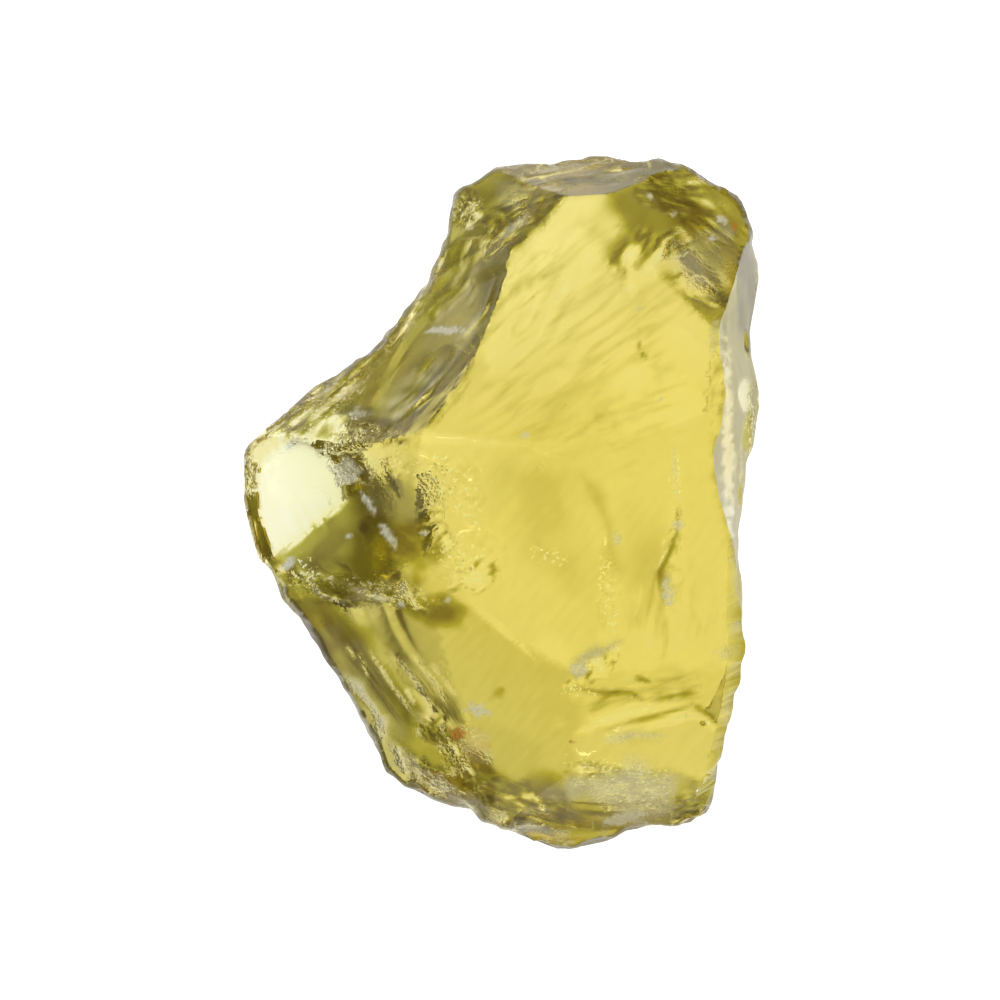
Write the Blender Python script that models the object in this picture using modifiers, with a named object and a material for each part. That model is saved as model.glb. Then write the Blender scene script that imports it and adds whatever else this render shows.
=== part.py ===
"""Raw lemon quartz: one broken, see-through chunk with shell-like fracture faces.

The chunk is knapped out of a block, the way the real one broke out of a crystal.
The block has the chunk's outline as seen from above, and every fracture face is a cut:
a slab for a flat face and a large ball for a hollow one. Then the faces get their
ripples and ledges, the side walls their lean, and the edges their chips.

Metres, +Z up. The chunk lies on its flattest break, at Z = 0, with its long side along Y.
"""
import math
import random
from collections import namedtuple

import bmesh
import bpy
import numpy as np
from mathutils import Vector

MM = 0.001

# Driving dimensions; the outline and the faces below give the rest
BLOCK_BOTTOM = -2.0 * MM
BLOCK_TOP = 17.0 * MM
SLAB_SIZE = 60.0 * MM
BALL_SUBDIVISIONS = 5

# Spacing of the even mesh laid over the cuts
MESH_GRAIN = 0.85 * MM

# Side walls lean in above and below their widest line
WALL_WIDEST = 4.0 * MM
WALL_LEAN = 0.16

# How the even mesh settles on the faces, ridges and corners
SETTLE_ROUNDS = 5
FACES_AT_CORNER = 3
RIDGE_REACH = 0.42 * MM
CORNER_BLUNTNESS = 0.01
REST_SNAP = 0.02 * MM
SHORTEST_EDGE = 0.05 * MM
RIDGE_ANGLE = 28.0

# Chips along the upper rim: how deep, how steep and how round, in mm and degrees
CHIP_COUNT = 30
CHIP_SEED = 7
CHIP_BITE = (0.2, 0.7)
CHIP_SLOPE = (40.0, 75.0)
CHIP_RADIUS = (2.0, 4.5)
CHIP_WALL = 3.0 * MM
RIM_STEP = 0.2 * MM

# Shape of a ripple: where its crest stands in each ring, and how the rings wander, in mm
RING_CREST = 0.75
RING_SWAY = 0.35
RING_LOBES = 9

# Outline seen from above, clockwise from the top left knob, in mm
OUTLINE = (
    (-3.1, 16.1), (-3.0, 17.4), (-2.4, 18.1), (-1.3, 18.6), (-0.2, 19.3), (2.8, 19.5), (5.9, 20.0), (7.7, 19.6),
    (9.0, 19.7), (10.4, 19.4), (12.6, 18.0), (13.6, 17.4), (14.5, 15.4), (14.9, 14.0), (14.9, 13.0), (14.4, 9.9),
    (14.5, 8.5), (15.0, 6.1), (14.6, 3.4), (14.2, 2.4), (13.8, -1.7), (13.6, -5.8), (13.7, -8.1), (13.4, -10.4),
    (12.3, -15.1), (12.1, -17.1), (11.6, -17.9), (10.8, -18.4), (8.7, -18.5), (7.2, -18.9), (5.8, -19.5),
    (4.3, -19.9), (3.2, -20.0), (1.2, -19.0), (-1.3, -18.1), (-1.8, -17.5), (-2.9, -17.4), (-5.7, -16.2),
    (-6.7, -15.3), (-7.4, -13.6), (-9.6, -9.6), (-11.6, -6.5), (-12.5, -5.6), (-13.2, -3.9), (-14.0, -3.1),
    (-14.4, -1.7), (-15.0, 0.7), (-14.9, 2.0), (-14.6, 3.2), (-12.5, 5.3), (-10.7, 6.7), (-7.5, 8.8),
    (-5.8, 10.7), (-4.4, 12.5), (-3.3, 15.1),
)

# A fracture face: a point on it in mm, the way it looks in plan (0 is +X, 90 is +Y), its slope
# off level in degrees, and the radius in mm of the ball that hollows it (0 is flat).
Face = namedtuple("Face", "name x y z looks slope hollow")

UPPER_FACES = (
    Face("plateau", 5.8, 9.3, 12.6, 92, 12, 60),
    Face("right_field", 9.9, -3.5, 13.2, 335, 6, 70),
    Face("bulb_scar", 0.0, -4.3, 12.9, 225, 5, 27),
    Face("lower_left", -4.1, -8.1, 10.8, 230, 30, 150),
    Face("dark_face", -8.7, 0.1, 11.8, 207, 28, 0),
    Face("stepped_foot", 8.1, -12.8, 11.6, 285, 24, 40),
    Face("toe", 5.8, -16.8, 8.6, 275, 46, 30),
    Face("pale_face", -8.7, 0.1, 11.8, 181, 33, 0),
    Face("wing_top", -10.7, 5.7, 8.4, 125, 54, 24),
    Face("left_arm", -4.3, 9.0, 9.8, 140, 46, 22),
    Face("arm_rim", -5.7, 10.4, 8.4, 145, 64, 18),
    Face("top_left", -1.0, 15.7, 9.8, 122, 40, 26),
    Face("top_band", 4.1, 18.7, 8.2, 92, 60, 40),
    Face("top_right", 9.5, 13.2, 11.4, 50, 38, 22),
    Face("right_side", 13.7, 5.8, 8.0, 2, 76, 45),
)
LOWER_FACES = (
    Face("rest", 4.1, 1.2, 0.0, 0, 0, 0),
    Face("back_top_right", 7.7, 11.0, 0.0, 56, 33, 0),
    Face("back_arm", 0.9, 1.7, 0.0, 136, 26, 0),
    Face("back_wing", -10.1, -0.2, 6.4, 0, 0, 5.8),
    Face("back_left", -2.8, -3.0, 0.0, 194, 31, 0),
    Face("back_foot_left", -1.4, -12.2, 0.0, 228, 34, 0),
    Face("back_foot", 3.9, -14.5, 0.0, 268, 28, 0),
    Face("back_right", 14.0, -5.8, 0.9, 355, 60, 0),
)

# Ripples on a face: rings about a point in plan, in mm, with their spacing and height
Ripple = namedtuple("Ripple", "face x y spacing height")

RIPPLES = (
    Ripple("stepped_foot", 1.5, -5.0, 2.6, 0.30),
    Ripple("plateau", -7.0, 17.0, 3.4, 0.10),
    Ripple("top_right", 3.0, 12.0, 2.4, 0.22),
    Ripple("top_left", 6.0, 10.0, 2.6, 0.20),
    Ripple("left_arm", 3.0, 3.0, 2.6, 0.20),
    Ripple("wing_top", -6.0, 0.0, 2.3, 0.20),
    Ripple("dark_face", 2.0, 2.0, 3.0, 0.16),
    Ripple("lower_left", 3.0, 4.0, 3.2, 0.14),
    Ripple("toe", 4.0, -8.0, 2.4, 0.22),
    Ripple("bulb_scar", 8.0, -14.0, 3.6, 0.08),
)


def clear_scene():
    """Remove whatever objects the scene starts with."""
    for obj in list(bpy.data.objects):
        bpy.data.objects.remove(obj, do_unlink=True)


def new_collection(name):
    """Add a collection to the scene."""
    collection = bpy.data.collections.new(name)
    bpy.context.scene.collection.children.link(collection)
    return collection


def face_normal(face, upward):
    """Unit vector that points out of the chunk at a fracture face."""
    looks = math.radians(face.looks)
    slope = math.radians(face.slope)
    rise = math.cos(slope) if upward else -math.cos(slope)
    return Vector((math.sin(slope) * math.cos(looks), math.sin(slope) * math.sin(looks), rise))


def face_point(face):
    """The point that a fracture face is hung on, in metres."""
    return Vector((face.x, face.y, face.z)) * MM


def make_block(collection):
    """The rough block: the outline seen from above, extruded through its full height."""
    outline = bpy.data.curves.new("quartz_outline", 'CURVE')
    outline.dimensions = '2D'
    outline.fill_mode = 'BOTH'
    outline.extrude = (BLOCK_TOP - BLOCK_BOTTOM) / 2
    spline = outline.splines.new('POLY')
    spline.points.add(len(OUTLINE) - 1)
    for point, (x, y) in zip(spline.points, OUTLINE):
        point.co = (x * MM, y * MM, 0.0, 1.0)
    spline.use_cyclic_u = True

    curve_object = bpy.data.objects.new("quartz_outline", outline)
    collection.objects.link(curve_object)
    curve_object.location.z = (BLOCK_TOP + BLOCK_BOTTOM) / 2
    bpy.context.view_layer.update()
    evaluated = curve_object.evaluated_get(bpy.context.evaluated_depsgraph_get())
    mesh = bpy.data.meshes.new_from_object(evaluated)
    mesh.transform(curve_object.matrix_world)
    bpy.data.objects.remove(curve_object, do_unlink=True)

    shape = bmesh.new()
    shape.from_mesh(mesh)
    bmesh.ops.remove_doubles(shape, verts=shape.verts, dist=0.01 * MM)
    bmesh.ops.recalc_face_normals(shape, faces=shape.faces)
    shape.to_mesh(mesh)
    shape.free()
    block = bpy.data.objects.new("quartz_chunk", mesh)
    collection.objects.link(block)
    return block


def add_cutter(face, upward, collection):
    """A slab above a flat face, or a ball that hollows a curved one."""
    normal = face_normal(face, upward)
    shape = bmesh.new()
    if face.hollow == 0:
        bmesh.ops.create_cube(shape, size=SLAB_SIZE)
        bmesh.ops.translate(shape, verts=shape.verts, vec=(0.0, 0.0, SLAB_SIZE / 2))
        turn = normal.to_track_quat('Z', 'Y').to_matrix().to_4x4()
        bmesh.ops.transform(shape, matrix=turn, verts=shape.verts)
        place = face_point(face)
    else:
        radius = face.hollow * MM
        bmesh.ops.create_icosphere(shape, subdivisions=BALL_SUBDIVISIONS, radius=radius)
        place = face_point(face) + normal * radius
    bmesh.ops.translate(shape, verts=shape.verts, vec=place)
    return add_hidden(shape, "cut_" + face.name, collection)


def add_hidden(shape, name, collection):
    """Put a cutter's shape in the scene where it shows only as wire."""
    mesh = bpy.data.meshes.new(name)
    shape.to_mesh(mesh)
    shape.free()
    cutter = bpy.data.objects.new(name, mesh)
    collection.objects.link(cutter)
    cutter.hide_render = True
    cutter.display_type = 'WIRE'
    return cutter


def cut(target, cutter):
    """Cut one shape out of the chunk."""
    boolean = target.modifiers.new(cutter.name, 'BOOLEAN')
    boolean.operation = 'DIFFERENCE'
    boolean.solver = 'EXACT'
    boolean.object = cutter


def settle_mesh(obj):
    """Replace the object's mesh by its evaluated one and drop its modifiers."""
    bpy.context.view_layer.update()
    evaluated = obj.evaluated_get(bpy.context.evaluated_depsgraph_get())
    old_mesh = obj.data
    obj.data = bpy.data.meshes.new_from_object(evaluated)
    obj.modifiers.clear()
    bpy.data.meshes.remove(old_mesh)
    obj.data.name = obj.name


def lay_even_mesh(obj):
    """Cover the cuts with even small faces, which settle on the true faces afterwards."""
    remesh = obj.modifiers.new("even_faces", 'REMESH')
    remesh.mode = 'VOXEL'
    remesh.voxel_size = MESH_GRAIN
    settle_mesh(obj)


def relief_depth(name, points):
    """How deep the ripples of a face bite below its plain surface, in metres."""
    depth = np.zeros(len(points))
    for ripple in RIPPLES:
        if ripple.face != name:
            continue
        east = points[:, 0] / MM - ripple.x
        north = points[:, 1] / MM - ripple.y
        sway = RING_SWAY * np.sin(RING_LOBES * np.arctan2(north, east))
        phase = (np.hypot(east, north) + sway) / ripple.spacing
        rise = phase - np.floor(phase)
        depth += ripple.height * MM * np.minimum(rise / RING_CREST, (1.0 - rise) / (1.0 - RING_CREST))
    return depth


def face_distances(face, upward, points):
    """Outside distance of points from a face, and the way out of the stone there."""
    out = np.array(face_normal(face, upward))
    hung_on = np.array(face_point(face))
    if face.hollow == 0:
        distance = (points - hung_on) @ out
        ways = np.tile(out, (len(points), 1))
    else:
        radius = face.hollow * MM
        to_centre = hung_on + out * radius - points
        reach = np.linalg.norm(to_centre, axis=1)
        distance = radius - reach
        ways = to_centre / reach[:, None]
    return distance + relief_depth(face.name, points), ways


def wall_distances(points):
    """Outside distance of points from the leaning side walls, and the way out there."""
    corners = np.array(OUTLINE) * MM
    flat = points[:, None, :2]
    run = np.roll(corners, -1, axis=0) - corners
    along = np.clip(((flat - corners) * run).sum(2) / (run ** 2).sum(1), 0.0, 1.0)
    gap = flat - (corners + along[:, :, None] * run)
    reach = np.linalg.norm(gap, axis=2)
    nearest = reach.argmin(axis=1)
    row = np.arange(len(points))
    side = run[nearest, 0] * gap[row, nearest, 1] - run[nearest, 1] * gap[row, nearest, 0]
    sign = np.where(side > 0.0, 1.0, -1.0)
    height = points[:, 2] - WALL_WIDEST
    distance = sign * reach[row, nearest] + WALL_LEAN * np.abs(height)
    ways = np.zeros_like(points)
    outward = np.stack((-run[nearest, 1], run[nearest, 0]), axis=1)
    ways[:, :2] = outward / np.linalg.norm(outward, axis=1)[:, None]
    ways[:, 2] = WALL_LEAN * np.sign(height)
    return distance, ways / np.linalg.norm(ways, axis=1)[:, None]


def measure_faces(points, chips):
    """Outside distances and ways out, for every face, chip and wall, of each point."""
    measured = [face_distances(face, True, points) for face in UPPER_FACES]
    measured += [face_distances(face, False, points) for face in LOWER_FACES]
    measured += [face_distances(chip, True, points) for chip in chips]
    measured.append(wall_distances(points))
    return np.stack([distance for distance, _ in measured]), np.stack([ways for _, ways in measured])


def settle_points(points, chips):
    """Move points onto the true faces; one near a ridge or a corner goes onto that."""
    row = np.arange(len(points))
    for _ in range(SETTLE_ROUNDS):
        distances, ways = measure_faces(points, chips)
        order = np.argsort(-distances, axis=0)[:FACES_AT_CORNER]
        distances = distances[order, row]
        ways = ways[order, row]
        step = -distances[0, :, None] * ways[0]
        for count in range(2, FACES_AT_CORNER + 1):
            sides = ways[:count].transpose(1, 0, 2)
            crossing = sides @ sides.transpose(0, 2, 1) + CORNER_BLUNTNESS * np.eye(count)
            shares = np.linalg.solve(crossing, -distances[:count].T[:, :, None])
            jump = (sides.transpose(0, 2, 1) @ shares)[:, :, 0]
            close = np.linalg.norm(jump, axis=1) < RIDGE_REACH
            step[close] = jump[close]
        points = points + step
    return points


def rim_wall(x, y):
    """Heights in metres of the stone's lower and upper surface at a place in plan."""
    column = np.array([(x, y, z) for z in np.arange(0.0, BLOCK_TOP, RIM_STEP)])
    distances, _ = measure_faces(column, ())
    within = column[distances.max(axis=0) < 0.0, 2]
    return (within.min(), within.max()) if len(within) else (0.0, 0.0)


def rim_chips():
    """Small hollows knocked out of the upper rim, at seeded places along the outline."""
    random.seed(CHIP_SEED)
    chips = []
    for index in range(CHIP_COUNT):
        place = (index + random.random()) / CHIP_COUNT * len(OUTLINE)
        corner, share = int(place) % len(OUTLINE), place % 1.0
        ahead = (corner + 1) % len(OUTLINE)
        x = OUTLINE[corner][0] * (1.0 - share) + OUTLINE[ahead][0] * share
        y = OUTLINE[corner][1] * (1.0 - share) + OUTLINE[ahead][1] * share
        looks = math.degrees(math.atan2(OUTLINE[corner][0] - OUTLINE[ahead][0],
                                        OUTLINE[ahead][1] - OUTLINE[corner][1])) + 180.0
        bite = random.uniform(*CHIP_BITE)
        inward = 1.0 - bite / math.hypot(x, y)
        bottom, top = rim_wall(x * inward * MM, y * inward * MM)
        slope = random.uniform(*CHIP_SLOPE)
        radius = random.uniform(*CHIP_RADIUS)
        if top - bottom > CHIP_WALL:
            chips.append(Face("chip", x * inward, y * inward, top / MM, looks, slope, radius))
    return chips


def finish_surface(obj):
    """Give the even mesh its true faces, ripples and ridges, and a flat resting face."""
    mesh = obj.data
    points = np.empty(len(mesh.vertices) * 3)
    mesh.vertices.foreach_get("co", points)
    points = settle_points(points.reshape(-1, 3), rim_chips())
    points[points[:, 2] < REST_SNAP, 2] = 0.0
    mesh.vertices.foreach_set("co", points.ravel())
    shape = bmesh.new()
    shape.from_mesh(mesh)
    bmesh.ops.triangulate(shape, faces=shape.faces)
    bmesh.ops.dissolve_degenerate(shape, edges=shape.edges, dist=SHORTEST_EDGE)
    under = [face for face in shape.faces if all(vert.co.z == 0.0 for vert in face.verts)]
    bmesh.ops.dissolve_faces(shape, faces=under, use_verts=True)
    shape.to_mesh(mesh)
    shape.free()
    mesh.shade_smooth()
    mesh.set_sharp_from_angle(angle=math.radians(RIDGE_ANGLE))


def quartz_material():
    """Clear yellow quartz."""
    material = bpy.data.materials.new("lemon_quartz")
    material.use_nodes = True
    shader = material.node_tree.nodes["Principled BSDF"]
    shader.inputs["Base Color"].default_value = (0.98, 0.92, 0.42, 1.0)
    shader.inputs["Roughness"].default_value = 0.06
    shader.inputs["IOR"].default_value = 1.544
    shader.inputs["Transmission Weight"].default_value = 1.0
    return material


def main():
    clear_scene()
    stone_collection = new_collection("raw_lemon_quartz")
    cutter_collection = new_collection("cutters")
    chunk = make_block(stone_collection)
    for face in UPPER_FACES:
        cut(chunk, add_cutter(face, True, cutter_collection))
    for face in LOWER_FACES:
        cut(chunk, add_cutter(face, False, cutter_collection))
    settle_mesh(chunk)
    lay_even_mesh(chunk)
    finish_surface(chunk)
    chunk.data.materials.append(quartz_material())


main()
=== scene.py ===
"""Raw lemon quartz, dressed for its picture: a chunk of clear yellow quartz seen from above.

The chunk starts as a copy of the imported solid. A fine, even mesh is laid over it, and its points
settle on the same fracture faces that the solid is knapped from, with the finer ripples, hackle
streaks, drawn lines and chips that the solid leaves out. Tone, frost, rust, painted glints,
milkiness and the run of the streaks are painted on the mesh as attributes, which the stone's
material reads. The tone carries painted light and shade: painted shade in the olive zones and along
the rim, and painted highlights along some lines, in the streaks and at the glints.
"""
import math
import random
from collections import namedtuple
from itertools import starmap

import bmesh
import bpy
import numpy as np
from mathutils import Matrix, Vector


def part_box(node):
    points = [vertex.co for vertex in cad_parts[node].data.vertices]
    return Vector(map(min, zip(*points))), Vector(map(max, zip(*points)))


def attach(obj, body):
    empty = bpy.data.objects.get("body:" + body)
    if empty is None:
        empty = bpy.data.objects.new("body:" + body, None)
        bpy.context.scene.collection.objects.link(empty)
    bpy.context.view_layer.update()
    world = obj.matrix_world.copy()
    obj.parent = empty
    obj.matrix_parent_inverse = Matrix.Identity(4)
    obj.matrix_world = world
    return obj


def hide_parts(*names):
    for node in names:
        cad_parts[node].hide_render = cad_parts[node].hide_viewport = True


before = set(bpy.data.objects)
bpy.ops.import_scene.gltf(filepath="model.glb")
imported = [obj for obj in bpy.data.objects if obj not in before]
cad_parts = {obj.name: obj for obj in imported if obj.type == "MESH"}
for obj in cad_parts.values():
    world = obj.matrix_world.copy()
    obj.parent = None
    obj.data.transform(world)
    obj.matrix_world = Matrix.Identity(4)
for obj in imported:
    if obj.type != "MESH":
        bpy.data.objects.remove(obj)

bl_info = {
    "name": "Raw Lemon Quartz",
    "version": (1, 0, 0),
    "blender": (4, 5, 0),
    "location": "3D View > Sidebar > Quartz",
    "description": "Builds a broken chunk of clear yellow quartz and its studio stage",
    "category": "Add Mesh",
}

MM = 0.001
CHUNK_NODE = "quartz_chunk"
LOW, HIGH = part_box(CHUNK_NODE)

# Outline seen from above, clockwise from the top left knob, in mm
OUTLINE = (
    (-3.1, 16.1), (-3.0, 17.4), (-2.4, 18.1), (-1.3, 18.6), (-0.2, 19.3), (2.8, 19.5), (5.9, 20.0),
    (7.7, 19.6), (9.0, 19.7), (10.4, 19.4), (12.6, 18.0), (13.6, 17.4), (14.5, 15.4), (14.9, 14.0),
    (14.9, 13.0), (14.4, 9.9), (14.5, 8.5), (15.0, 6.1), (14.6, 3.4), (14.2, 2.4), (13.8, -1.7),
    (13.6, -5.8), (13.7, -8.1), (13.4, -10.4), (12.3, -15.1), (12.1, -17.1), (11.6, -17.9),
    (10.8, -18.4), (8.7, -18.5), (7.2, -18.9), (5.8, -19.5), (4.3, -19.9), (3.2, -20.0),
    (1.2, -19.0), (-1.3, -18.1), (-1.8, -17.5), (-2.9, -17.4), (-5.7, -16.2), (-6.7, -15.3),
    (-7.4, -13.6), (-9.6, -9.6), (-11.6, -6.5), (-12.5, -5.6), (-13.2, -3.9), (-14.0, -3.1),
    (-14.4, -1.7), (-15.0, 0.7), (-14.9, 2.0), (-14.6, 3.2), (-12.5, 5.3), (-10.7, 6.7),
    (-7.5, 8.8), (-5.8, 10.7), (-4.4, 12.5), (-3.3, 15.1),
)
WALL_WIDEST = 4.0
LEAN_ABOVE = 0.05
LEAN_BELOW = 0.16

# In plan, the wall right of RIGHT_WALL leans further above the widest line, and is smoother. This
# fades out towards RIGHT_WALL_END and RIGHT_WALL_TOP.
RIGHT_WALL = 11.0
RIGHT_WALL_LEAN = 0.28
RIGHT_WALL_END = -5.5
RIGHT_WALL_FADE = 8.5
RIGHT_WALL_TOP = 16.0
RIGHT_WALL_TOP_FADE = 2.5
RIGHT_WALL_SMOOTH = 0.8

# A fracture face: a point on it in mm, the way it looks in plan (0 is +X, 90 is +Y), its slope
# off level in degrees, and the radius in mm of the ball that hollows it (0 is flat).
Face = namedtuple("Face", "name x y z looks slope hollow")

UPPER_FACES = (
    Face("plateau", 5.8, 9.3, 12.6, 92, 12, 60),
    Face("right_field", 9.9, -3.5, 13.2, 335, 6, 70),
    Face("bulb_scar", 0.0, -4.3, 12.9, 225, 5, 27),
    Face("lower_left", -4.1, -8.1, 10.8, 230, 30, 150),
    Face("dark_face", -8.7, 0.1, 11.8, 207, 28, 0),
    Face("stepped_foot", 8.1, -12.8, 11.6, 285, 24, 40),
    Face("toe", 5.8, -16.8, 8.6, 275, 46, 30),
    Face("pale_face", -8.7, 0.1, 11.8, 181, 33, 0),
    Face("wing_top", -10.7, 5.7, 8.4, 125, 54, 24),
    Face("left_arm", -4.3, 9.0, 9.8, 140, 46, 22),
    Face("arm_rim", -5.7, 10.4, 8.4, 145, 64, 18),
    Face("top_left", -1.0, 15.7, 9.8, 122, 40, 26),
    Face("top_band", 4.1, 18.7, 8.2, 92, 60, 40),
    Face("top_right", 9.5, 13.2, 11.4, 50, 38, 22),
    Face("right_side", 13.7, 5.8, 8.0, 2, 76, 45),
)
LOWER_FACES = (
    Face("rest", 4.1, 1.2, 0.0, 0, 0, 0),
    Face("back_top_right", 7.7, 11.0, 0.0, 56, 33, 0),
    Face("back_arm", 0.9, 1.7, 0.0, 136, 26, 0),
    Face("back_wing", -10.1, -0.2, 6.4, 0, 0, 5.8),
    Face("back_left", -2.8, -3.0, 0.0, 194, 31, 0),
    Face("back_foot_left", -1.4, -12.2, 0.0, 228, 34, 0),
    Face("back_foot", 3.9, -14.5, 0.0, 268, 28, 0),
    Face("back_right", 14.0, -5.8, 0.9, 355, 60, 0),
)

# Ripples that belong to one face, in mm: rings round a point in plan, a distance across apart,
# which hold for a distance along before they break.
Ripple = namedtuple("Ripple", "face x y across along height")

RIPPLES = tuple(starmap(Ripple, (
    ("stepped_foot", 1.5, -5.0, 2.6, 5.0, 0.3),
    ("plateau", -7.0, 17.0, 3.4, 9.0, 0.06),
    ("top_right", 3.0, 12.0, 2.4, 6.0, 0.12),
    ("top_left", 6.0, 10.0, 2.6, 6.0, 0.1),
    ("left_arm", 3.0, 3.0, 2.6, 7.0, 0.1),
    ("wing_top", -6.0, 0.0, 2.3, 4.0, 0.12),
    ("dark_face", 2.0, 2.0, 3.0, 6.0, 0.08),
    ("lower_left", 3.0, 4.0, 3.2, 8.0, 0.06),
    ("toe", 4.0, -8.0, 2.4, 5.0, 0.14),
    ("bulb_scar", 8.0, -14.0, 3.6, 9.0, 0.04),
    ("back_left", 3.0, -1.0, 3.0, 7.0, 0.1),
    ("back_arm", 6.0, -3.0, 3.4, 8.0, 0.1),
    ("back_top_right", 2.0, 4.0, 2.8, 6.0, 0.12),
    ("back_foot", 6.0, -6.0, 2.4, 5.0, 0.12),
    ("back_foot_left", 4.0, -5.0, 2.4, 5.0, 0.12),
    ("back_right", 4.0, 4.0, 2.2, 4.0, 0.1),
)))
RING_CREST = 0.7
RING_SWAY = 0.5

# Where each ring is broken: the noise's shift from that of the sway, and its pace over the rings
RING_SHIFT = 9.0
RING_BREAKS = 0.5

# The marks below are laid out as they show from VIEW_HEIGHT in mm, in steps right and down from the
# top left corner of the view. The view is 1000 steps wide, and a step is STEP mm long on the level
# of the widest line, with VIEW_CENTRE in mm below its middle. Turns are in degrees against the
# clock, and heights are in mm.
VIEW_HEIGHT = 165.0
VIEW_MIDDLE = 500.0
VIEW_CENTRE = (-0.09, 0.20)
STEP = 0.05796

# Tone is how the stone looks in a place, with painted light and shade in it: 0 is deep olive, a
# painted shade, 0.5 bright yellow and 1 pale and clear. The low tones of the olive faces, the chips
# and the wall paint shade, the wall's along the rim.
TONES = {
    "plateau": 0.47, "right_field": 0.50, "bulb_scar": 0.48, "lower_left": 0.36, "dark_face": 0.16,
    "stepped_foot": 0.42, "toe": 0.26, "pale_face": 0.80, "wing_top": 0.22, "left_arm": 0.29,
    "arm_rim": 0.32, "top_left": 0.08, "top_band": 0.34, "top_right": 0.14, "right_side": 0.38,
    "chip": 0.25, "wall": 0.12, "back_wing": 1.0,
}
TONE_BELOW = 0.5
TONE_SOFTENING = 2

# Soft ovals of another tone, painted shade where it is low and painted light where it is high: the
# middle, half sizes, turn, tone, and how much of it shows
Shade = namedtuple("Shade", "x y wide tall turn tone share")

SHADES = tuple(starmap(Shade, (
    (505, 205, 50, 34, 15, 0.38, 0.8),
    (580, 255, 60, 40, 40, 0.46, 0.6),
    (640, 225, 50, 60, 0, 0.05, 0.9),
    (692, 268, 60, 36, -20, 0.52, 0.9),
    (470, 370, 40, 60, -40, 0.4, 0.6),
    (560, 400, 50, 40, 20, 0.46, 0.5),
    (430, 460, 60, 30, -10, 0.44, 0.6),
    (396, 468, 40, 36, 0, 0.45, 1.0),
    (548, 515, 56, 90, 20, 0.37, 0.9),
    (500, 560, 60, 40, -30, 0.5, 0.6),
    (655, 570, 60, 75, 0, 0.36, 0.9),
    (590, 580, 16, 60, 5, 0.43, 0.5),
    (403, 540, 50, 38, -40, 0.0, 1.0),
    (438, 610, 46, 22, -22, 0.0, 1.0),
    (440, 576, 32, 18, -30, 0.42, 0.9),
    (374, 612, 22, 14, -10, 0.45, 0.8),
    (330, 545, 50, 28, 41, 0.02, 1.0),
    (480, 290, 44, 70, -25, 0.38, 0.6),
    (685, 400, 36, 120, 0, 0.58, 0.6),
    (515, 340, 50, 70, -30, 0.43, 0.6),
    (445, 180, 34, 30, 0, 0.0, 0.8),
    (462, 335, 30, 116, -20, 0.31, 0.9),
    (485, 205, 32, 26, 0, 0.04, 0.8),
    (408, 395, 44, 24, 40, 0.44, 0.6),
    (676, 188, 46, 26, -12, 0.04, 0.8),
    (325, 640, 76, 44, -50, 0.0, 1.0),
    (382, 702, 80, 42, -52, 0.08, 0.9),
    (440, 762, 50, 26, -38, 0.22, 0.9),
    (530, 795, 86, 32, -8, 0.02, 1.0),
    (498, 693, 13, 11, 40, 0.2, 0.8),
    (490, 745, 90, 34, -25, 0.32, 0.9),
    (448, 790, 34, 14, -32, 0.85, 0.8),
    (520, 828, 34, 12, -20, 0.85, 0.8),
    (640, 700, 80, 40, 10, 0.44, 0.7),
    (690, 805, 26, 16, 20, 0.28, 0.8),
    (728, 450, 9, 150, 1, 0.42, 0.9),
    (754, 396, 9, 52, 0, 0.05, 1.0),
    (716, 330, 8, 26, -8, 0.25, 0.8),
    (338, 430, 10, 18, -10, 0.75, 0.8),
    (463, 207, 18, 22, 0, 0.55, 0.5),
    (570, 172, 60, 9, 8, 0.55, 0.6),
)))

# Hackle: streaks in an oval patch of the upper side, which run along its width: half sizes, turn,
# how far apart and how long the streaks are, how high, and how much their tone differs, as painted
# light and shade along the streaks
Hackle = namedtuple("Hackle", "x y wide tall turn across along height tone")

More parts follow.
